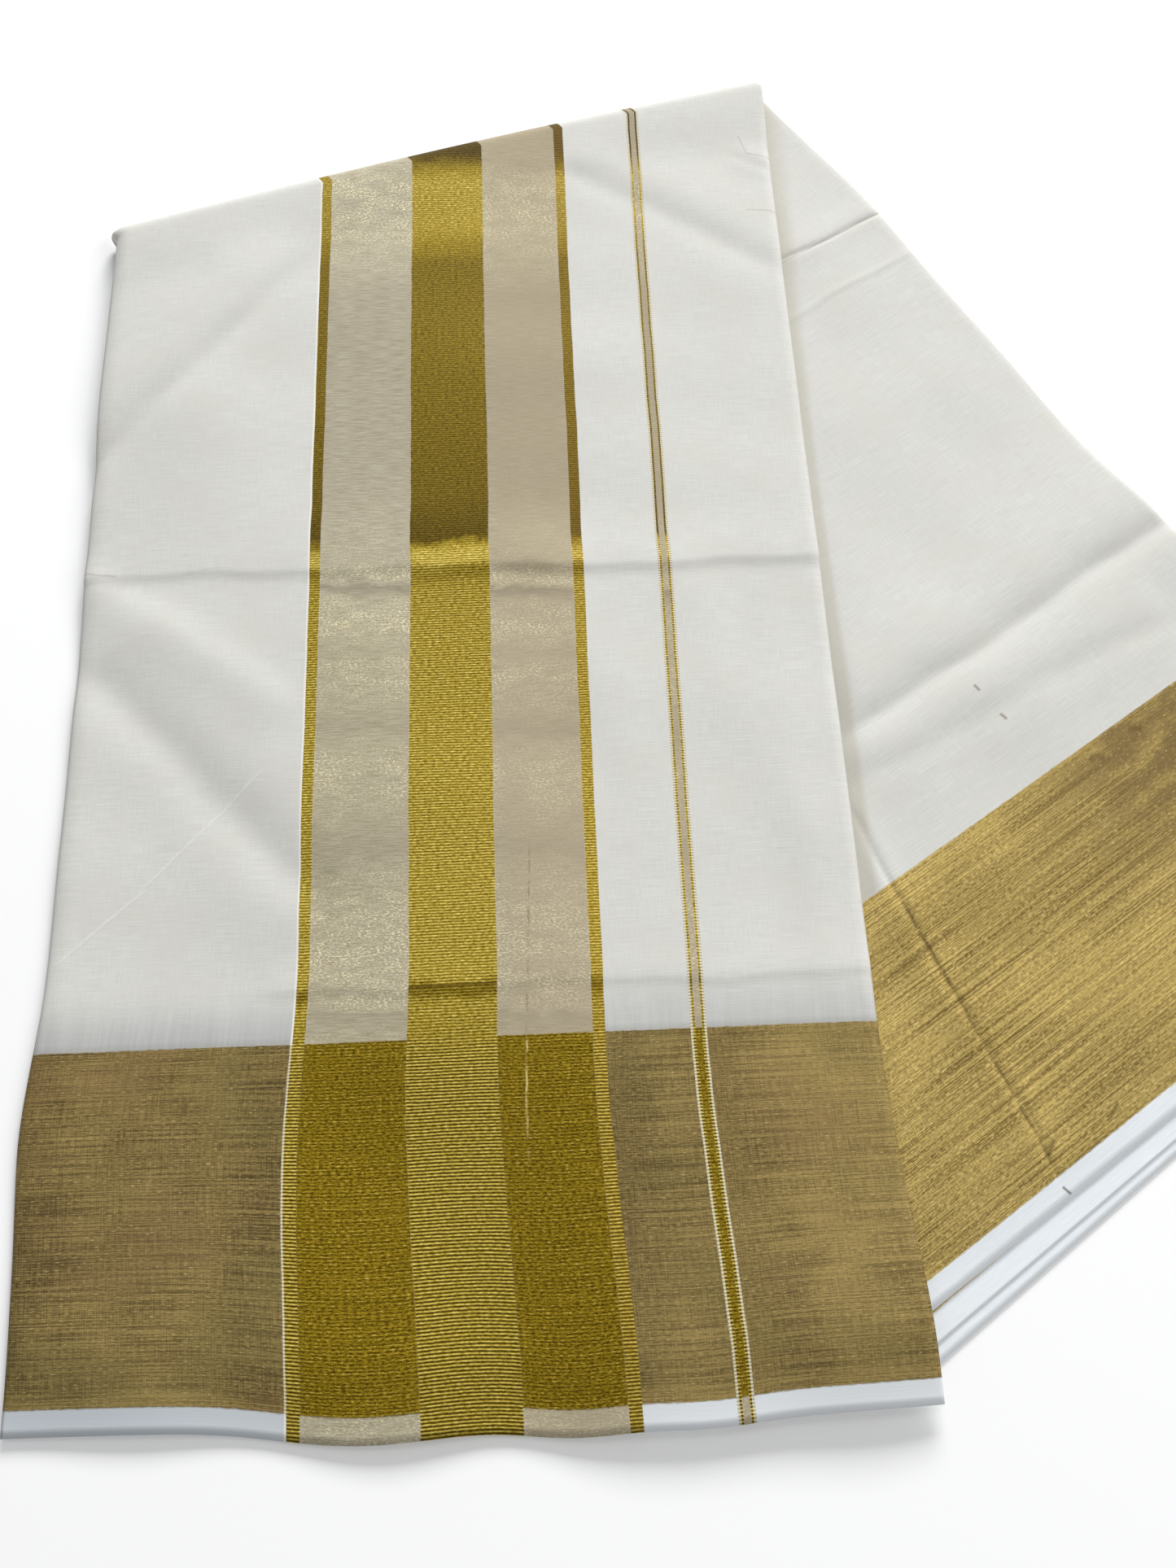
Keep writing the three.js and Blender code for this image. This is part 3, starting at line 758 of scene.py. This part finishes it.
def near_border(cloth):
    """The pallu's border, seen across its grain: a dull gold and brown grid in mottled patches, with painted shading
    and sheen set as a tone across the panel, painted glints on its short threads, and a bright row beside the
    selvedge. Gives its colour and its threads."""
    short = cloth.warp(2.2, 0.42, 1, 12)
    threads = zari(cloth, cloth.warp(40, 0.5, 1, 11), short, cloth.weft(12, 0.48, 1, 15))
    patches = cloth.ramp(cloth.warp(42, 36, 2, 13), 0.34, 0.66)
    row = cloth.band(cloth.along, SELVEDGE, SELVEDGE + 5, 1.5)
    place = cloth.sum(cloth.across, cloth.wave(patches, 9))
    upper = cloth.ramp(cloth.sum(cloth.along, cloth.times(patches, 24)), 44, 104)
    # The tone is painted shading and sheen across the panel.
    tone = cloth.shares((tone_ramp(cloth, place, BORDER_UPPER), upper),
                        (tone_ramp(cloth, place, BORDER_LOWER), cloth.less(1, upper)))
    lit = cloth.shares((cloth.ramp(threads, 0.39, 0.61), 0.68), (patches, 0.14), (row, 0.18), (tone, 0.66))
    lit = cloth.less(lit, 0.265)
    hue = cloth.warp(70, 46, 2, 16)
    return over(cloth, cloth.blend(lit, (0.082, 0.055, 0.020), (0.37, 0.27, 0.097)),
                (cloth.ramp(hue, 0.50, 0.66, 0, 0.28), (0.235, 0.145, 0.068)),
                (cloth.ramp(hue, 0.34, 0.50, 0.2, 0), (0.175, 0.152, 0.052)),
                # Painted glints on the short threads.
                (cloth.times(cloth.ramp(short, 0.66, 0.76), 0.6), (0.66, 0.52, 0.23))), threads


def back_border(cloth):
    """The body's border, lit along its grain: long fine bright and brown streaks, browner up at the right. Gives its
    colour and its threads."""
    short = cloth.warp(2.2, 0.36, 1, 12)
    threads = zari(cloth, cloth.warp(90, 0.34, 1, 11), short, cloth.weft(1.6, 0.6, 1, 15))
    broad = cloth.ramp(cloth.warp(200, 2.4, 2, 19), 0.36, 0.64)
    patches = cloth.ramp(cloth.warp(60, 40, 3, 13), 0.36, 0.66)
    lit = cloth.less(cloth.shares((cloth.ramp(threads, 0.43, 0.57), 0.68), (broad, 0.22), (patches, 0.20)), 0.07)
    brown = cloth.times(cloth.ramp(cloth.across, 90, 180, 1, 0), cloth.ramp(cloth.along, 50, 112),
                        cloth.ramp(cloth.warp(26, 12, 3, 20), 0.34, 0.60, 0.3, 0.85))
    return over(cloth, cloth.blend(lit, (0.165, 0.11, 0.03), (0.66, 0.49, 0.165)),
                (brown, (0.185, 0.126, 0.05)),
                # Painted glints on the short threads.
                (cloth.times(cloth.ramp(short, 0.64, 0.76), 0.75), (0.88, 0.72, 0.36))), threads


def tissue_colour(cloth, tone, crinkle):
    """Tissue: gold and cotton threads together, crinkled, with painted glints and sheen in bright rows and painted
    shade where the tone is low, yellower at the near end and right.
    """
    fine = cloth.warp(9, 0.5, 2, 23)
    light = cloth.ramp(fine, 0.36, 0.64)
    yellow = cloth.most(cloth.ramp(cloth.along, 300, 380, 0.35, 0), cloth.ramp(cloth.across, 180, 200, 0, 0.6))
    warm = cloth.ramp(cloth.across, 186, 200)
    colour = over(cloth, cloth.blend(light, (0.36, 0.32, 0.226), (0.487, 0.447, 0.342)),
                  (yellow, cloth.blend(light, (0.335, 0.29, 0.175), (0.42, 0.37, 0.235))),
                  (cloth.times(warm, 0.5), (0.435, 0.36, 0.255)))
    drifts = cloth.ramp(cloth.warp(16, 7, 3, 24), 0.36, 0.62, 0.35, 1.15)
    # Painted glints of the gold threads, in rows set by the tone.
    glint = cloth.times(cloth.ramp(crinkle, 0.44, 0.70), cloth.ramp(tone, 0.28, 0.74), drifts,
                        cloth.less(1, cloth.times(warm, 0.35)))
    colour = cloth.blend(glint, colour, (0.95, 0.86, 0.56))
    # Painted shade where the tone is low.
    return cloth.blend(cloth.ramp(tone, 0.16, 0.46, 0.46, 0), colour, (0.21, 0.175, 0.125))


def gold_colour(cloth, tone, ribs):
    """Gold threads: ribs along the warp that stand out near the selvedge and fade past the first crease and where the
    painted shade is deep, each rib a row of short bright dashes, from brown in the gaps to pale yellow. The
    brightness follows the painted sheen and shade of the tone."""
    dashes = cloth.warp(1.7, 0.8, 2, 32)
    ribbed = cloth.sum(cloth.ramp(cloth.along, 352, 366, 0.55, 0.12), cloth.ramp(cloth.along, 128, 140, 0.5, 0))
    light = cloth.times(cloth.sum(cloth.wave(ribs, ribbed), cloth.wave(dashes, 1.5)),
                        cloth.ramp(tone, 0.1, 0.6, 0.35, 1))
    light = cloth.sum(tone, light)
    colour = cloth.blend(cloth.ramp(light, 0, 0.62), (0.062, 0.037, 0.002), (0.315, 0.222, 0.018))
    # Painted highlight: the brightest gold turns pale yellow.
    return cloth.blend(cloth.ramp(light, 0.52, 1.25), colour, (0.84, 0.67, 0.17))


def over(cloth, colour, *layers):
    """Layers of cloth over a colour, each a mask and the colour that shows there."""
    for mask, shown in layers:
        colour = cloth.blend(mask, colour, shown)
    return colour


def finished(material, cloth, colour, metal, relief):
    """Ends the material: rougher where the cloth is cotton, with the threads in relief."""
    rough = cloth.ramp(metal, 0, 0.12, 0.92, 0.6)
    bump = cloth.put("ShaderNodeBump", {"Height": relief, "Strength": 0.45, "Distance": 0.0003})
    shader = cloth.put("ShaderNodeBsdfPrincipled", {"Base Color": colour, "Metallic": metal, "Roughness": rough,
                                                    "Normal": bump.outputs[0], "Specular IOR Level": 0.05})
    cloth.put("ShaderNodeOutputMaterial", {"Surface": shader.outputs[0]}).is_active_output = True
    return material


def new_cloth(name):
    """An empty material and its tree."""
    material = bpy.data.materials.new(name)
    material.use_nodes = True
    material.node_tree.nodes.clear()
    return material, Cloth(material.node_tree)


# Small dark marks on the body's border, and specks above it: start, end (across, along) and width.
MARKS = (((240, 16), (232, 21), 1.6), ((210, 13), (201, 17), 1.4), ((114, 131), (107, 127), 3.2),
         ((90, 132), (84, 128), 3.2), ((134, 182), (134.5, 186), 1.1), ((132, 165), (133, 169), 1.1))


def body_material():
    """Cream cotton with a gold border along the selvedge, a painted soft yellow shadow beside the near half, painted
    shade just above the border, painted shade in a pinched crease and in a crease across the border, and a few small
    dark marks and specks."""
    material, cloth = new_cloth("body_cloth")
    band, ramp, times = cloth.band, cloth.ramp, cloth.times
    plain, slubs = cotton(cloth)
    edge, selvedge = ragged_edge(cloth)
    border = band(edge, SELVEDGE, BORDER_TOP, 0.4)
    border_colour, threads = back_border(cloth)
    selvedge_colour = cloth.blend(ramp(cloth.warp(14, 0.45, 3, 1), 0.35, 0.65),
                                  (0.76, 0.80, 0.83), (0.83, 0.865, 0.89))
    rim = times(ramp(cloth.along, 0.2, 1.1, 1, 0), 0.6)
    # Painted shadow: a soft yellow shade on the far half beside the near half's edge, wider near the turn and
    # narrower further down.
    beside = cloth.put("ShaderNodeAttribute", attribute_name="beside").outputs["Fac"]
    top_layer = ramp(beside, BESIDE_BASE / 3, BESIDE_BASE / 2)
    reach = ramp(cloth.along, 300, 500, 4, 13)
    share = cloth.count("DIVIDE", cloth.less(beside, BESIDE_BASE), reach)
    shade = times(top_layer, ramp(share, 0, 1, 0.4, 0))
    # Painted shade in a pinched crease across the far half.
    pinch = times(top_layer, cloth.line((-12, 424), (90, 424.6), 0.9))
    # Painted shade in the crease that runs across the border.
    crease = times(cloth.line((221, 140), (239.9, 7), 1.3), ramp(cloth.weft(14, 9, 2, 53), 0.3, 0.6))
    marks = cloth.lines(*MARKS)
    stray = times(top_layer, cloth.line((240.6, 5.4), (239.6, 1), 0.9))
    colour = over(cloth, plain,
                  # Painted shade on the cotton just above the border.
                  (times(band(cloth.along, BORDER_TOP - 2, 155, 3), 0.08), (0.47, 0.48, 0.475)),
                  (shade, (0.45, 0.41, 0.30)),
                  (times(pinch, 0.4), (0.33, 0.29, 0.20)),
                  (selvedge, selvedge_colour),
                  (rim, (0.86, 0.88, 0.89)),
                  (border, border_colour),
                  (times(crease, 0.75), (0.12, 0.078, 0.028)),
                  (times(marks, top_layer, 0.6), (0.14, 0.092, 0.036)),
                  (times(stray, 0.8), (0.13, 0.09, 0.05)))
    relief = cloth.sum(times(slubs, 0.5), times(border, threads, 0.6), times(crease, -0.8))
    return finished(material, cloth, colour, times(border, 0.12), relief)


# Painted shade in small tucks and crinkles at the pallu's sides: start, end (across, along) and width.
TUCKS = (((-3, 355.6), (17, 353), 1), ((329, 612), (333, 598), 0.7), ((331, 599), (348, 595), 0.8),
         ((328, 559.4), (347, 558), 0.8))


def pallu_material():
    """Cream cotton with a gold border along each selvedge, crossed by a thick gold band between tissue bands, narrow
    gold stripes and a pair of fine lines. Painted shade dims the cotton where a single layer lies by the border,
    streaked by painted shading of its fine flutes and deeper to the left."""
    material, cloth = new_cloth("pallu_cloth")
    band, blend, most, ramp, times = cloth.band, cloth.blend, cloth.most, cloth.ramp, cloth.times
    across, along = cloth.across, cloth.along
    plain, slubs = cotton(cloth)
    edge, selvedge = ragged_edge(cloth)
    border = most(*(band(place, SELVEDGE, BORDER_TOP, 0.4) for place in (edge, cloth.less(PALLU_LENGTH, along))))
    border_colour, threads = near_border(cloth)

    # The cotton beside the border with its painted shade, its selvedge, and the painted highlight along the fine
    # crease at the left.
    flutes = cloth.weft(60, 1.6, 2, 17)
    # Painted shade on the cotton above the border, streaked by painted shading of the fine flutes and deeper to the
    # left.
    painted_border_shade = times(ramp(along, 136, 161, 1, 0), ramp(flutes, 0.3, 0.7, 0.75, 1), ramp(across, 60, 250, 0.85, 0.58))
    dark_edge = ramp(along, 137, 140, 1, 0)
    # Painted shade: the selvedge darkens towards the left.
    selvedge_colour = blend(ramp(across, 20, 280), (0.50, 0.535, 0.565), (0.73, 0.76, 0.785))
    # Painted highlight along the fine crease at the left.
    crease = cloth.lines(((3, 171), (42, 204), 1.1), ((36, 200), (93, 257), 1.1))
    # Painted shade in the pressed crease across the gold band.
    pressed = cloth.line((104, 156.6), (238, 158.2), 0.9)
    # Painted shade in the tucks.
    tucks = cloth.lines(*TUCKS)

    # Bands: the wandering places of their edges, frayed beside the tissue.
    wander = cloth.wave(cloth.weft(40, 400, 2, 7), 1.2)
    frayed = cloth.wave(cloth.weft(1.3, 3, 2, 8), 1)
    clean = cloth.sum(across, wander, times(frayed, 0.25))
    place = cloth.sum(across, wander, frayed)
    start, end = LINES
    tissue = most(band(place, *TISSUE_LEFT), band(place, *TISSUE_RIGHT), band(clean, start + 1.9, end - 1.9, 0.2))
    narrow_left = band(clean, *NARROW_LEFT, 0.25)
    narrow_right = band(clean, *NARROW_RIGHT, 0.25)
    gold = most(band(place, *THICK, 0.3), band(clean, start + 0.9, start + 1.9, 0.2),
                band(clean, end - 1.9, end - 0.9, 0.2), narrow_left, narrow_right)
    cream_thread = band(clean, NARROW_LEFT[0] - 0.8, NARROW_LEFT[0], 0.2)
    cream_edges = most(band(clean, start, start + 0.9, 0.2), band(clean, end - 0.9, end, 0.2))

    crinkle = cloth.threads(cloth.sum(across, times(along, 0.4)), along, 1.3, 0.62, 2, 22)
    slanted = cloth.sum(along, times(across, 0.06))
    # The tones are painted sheen and shade along the cloth.
    tissue_tone = cloth.group(GROUPS["tissue_tone"], Along=slanted, Across=across)
    gold_tone = cloth.group(GROUPS["gold_tone"], Along=along, Across=across)
    phase = times(cloth.sum(along, times(cloth.warp(30, 10, 2, 31), 0.9)), 2 * math.pi / RIB_PITCH)
    ribs = cloth.sum(times(cloth.count("SINE", phase), 0.5), 0.5)
    cross_light = cloth.shares((ribs, 0.09), (cloth.warp(1.6, 0.5, 2, 34), 0.57), (threads, 0.34))
    crossing = blend(ramp(cross_light, 0.39, 0.60), (0.07, 0.043, 0.001), (0.32, 0.215, 0.012))
    crossing = blend(ramp(cross_light, 0.56, 0.70, 0, 0.8), crossing, (0.72, 0.57, 0.15))
    # Painted shade on the narrow gold stripes past the first crease.
    narrow_shade = times(most(narrow_left, narrow_right), ramp(along, 350, 362, 0, 0.22))
    upright = times(cloth.line((207, 222), (202, 88), 0.75), ramp(cloth.weft(7, 9, 2, 52), 0.36, 0.6))
    cream_colour = blend(ramp(ribs, 0.2, 0.8), (0.42, 0.36, 0.22), (0.74, 0.70, 0.55))

    colour = over(cloth, plain,
                  (painted_border_shade, (0.40, 0.41, 0.405)),
                  (times(dark_edge, 0.35), (0.30, 0.29, 0.26)),
                  (selvedge, selvedge_colour),
                  (times(crease, 0.22), (0.84, 0.83, 0.80)),
                  (times(tucks, 0.45), (0.40, 0.36, 0.29)),
                  (border, border_colour),
                  (tissue, tissue_colour(cloth, tissue_tone, crinkle)),
                  (times(border, tissue), crossing),
                  (times(upright, cloth.less(0.55, times(border, 0.55))), (0.24, 0.15, 0.07)),
                  (times(upright, border, 0.8), (0.74, 0.60, 0.26)),
                  (gold, gold_colour(cloth, gold_tone, ribs)),
                  (times(pressed, gold, 0.8), (0.085, 0.048, 0.004)),
                  (times(narrow_right, 0.12), (0.42, 0.235, 0.03)),
                  (narrow_shade, (0.11, 0.066, 0.012)),
                  (cream_edges, cream_colour),
                  (cream_thread, blend(border, (0.80, 0.785, 0.72), cream_colour)))
    metal = most(times(most(border, gold), 0.12), times(tissue, 0.06))
    metal = times(metal, cloth.less(1, most(cream_thread, cream_edges)))
    relief = cloth.sum(times(slubs, 0.5), times(border, threads, 0.6))
    relief = cloth.sum(times(relief, cloth.less(1, gold)), times(gold, ribs, 0.9),
                       times(tissue, crinkle, 0.5), times(crease, 0.8))
    return finished(material, cloth, colour, metal, relief)


# ---- Camera, light and floor
FILM = 36.0  # height of the camera's film, in millimetres
FOCAL_SHARE = 1403.0 / 1927.0  # focal length as a share of the picture's height
EYE_HEIGHT, EYE_TILT = 0.472, 20  # height in metres, and degrees from straight down


def camera():
    """Looking down from the near side at 70 degrees, as the photo was taken."""
    lens = bpy.data.cameras.new("view_from_above")
    lens.sensor_fit = "VERTICAL"
    lens.sensor_height = FILM
    lens.lens = FILM * FOCAL_SHARE
    lens.clip_start = 0.01
    eye = bpy.data.objects.new("view_from_above", lens)
    bpy.context.collection.objects.link(eye)
    eye.location = (-MIDDLE[0] * 0.001, -MIDDLE[1] * 0.001, EYE_HEIGHT)
    eye.rotation_euler = (math.radians(EYE_TILT), 0, 0)
    bpy.context.scene.camera = eye


def soft_light(name, place, aim, size, power):
    """A rectangular area light at a place, its face turned to another place."""
    lamp = bpy.data.lights.new(name, "AREA")
    lamp.shape = "RECTANGLE"
    lamp.size, lamp.size_y = size
    lamp.energy = power
    light = bpy.data.objects.new(name, lamp)
    bpy.context.collection.objects.link(light)
    light.location = place
    way = np.array(aim) - np.array(place)
    flat = math.hypot(way[0], way[1])
    light.rotation_euler = (math.atan2(flat, -way[2]), 0, math.atan2(way[1], way[0]) - math.pi / 2)


def studio():
    """Dim even light all round, a low window beyond the fold that draws out the creases, a softer light from the
    right, and a faint one overhead that the gold threads mirror. The floor is pale and matt."""
    world = bpy.data.worlds.new("studio")
    world.use_nodes = True
    world.node_tree.nodes["Background"].inputs[0].default_value = (0.98, 0.99, 1.0, 1)
    world.node_tree.nodes["Background"].inputs[1].default_value = 0.34
    bpy.context.scene.world = world
    soft_light("window", (0.7, 5.2, 2.4), (0, 0, 0), (2.6, 1.8), 405)
    soft_light("side", (4.2, -0.8, 3.0), (0, 0, 0), (2.5, 2.5), 95)
    soft_light("overhead", (0, 0.85, 2.1), (0, -0.05, 0), (1.6, 0.6), 5)
    bpy.context.scene.view_settings.view_transform = "Standard"
    half, low = 3.0, -0.0004
    mesh = bpy.data.meshes.new("floor")
    mesh.from_pydata([(-half, -half, low), (half, -half, low), (half, half, low), (-half, half, low)],
                     [], [(0, 1, 2, 3)])
    floor = bpy.data.objects.new("floor", mesh)
    bpy.context.collection.objects.link(floor)
    paper = bpy.data.materials.new("pale_floor")
    paper.use_nodes = True
    shader = paper.node_tree.nodes["Principled BSDF"]
    shader.inputs["Base Color"].default_value = (0.94, 0.94, 0.94, 1)
    shader.inputs["Roughness"].default_value = 0.9
    mesh.materials.append(paper)


camera()
studio()
pallu_cloth = pallu_material()
body_cloth = body_material()
pieces = {
    "pallu": (pallu(), pallu_cloth, ("pallu_front", "pallu_under"), "kasavu_cotton"),
    "body_top": (body_top(), body_cloth, ("body_top",), "kasavu_cotton"),
    "body_second": (body_second(), body_cloth, ("body_second",), "kasavu_cotton"),
    "body_third": (body_third(), body_cloth, ("pallu_under",), "kasavu_cotton"),
    "folded_layers": (folded_layers(), body_cloth, ("hidden_layers",), "folded_cotton"),
}
for piece, cloth, nodes, slot in pieces.values():
    piece.data.materials.append(cloth)
    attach(piece, "root")
    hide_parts(*nodes)
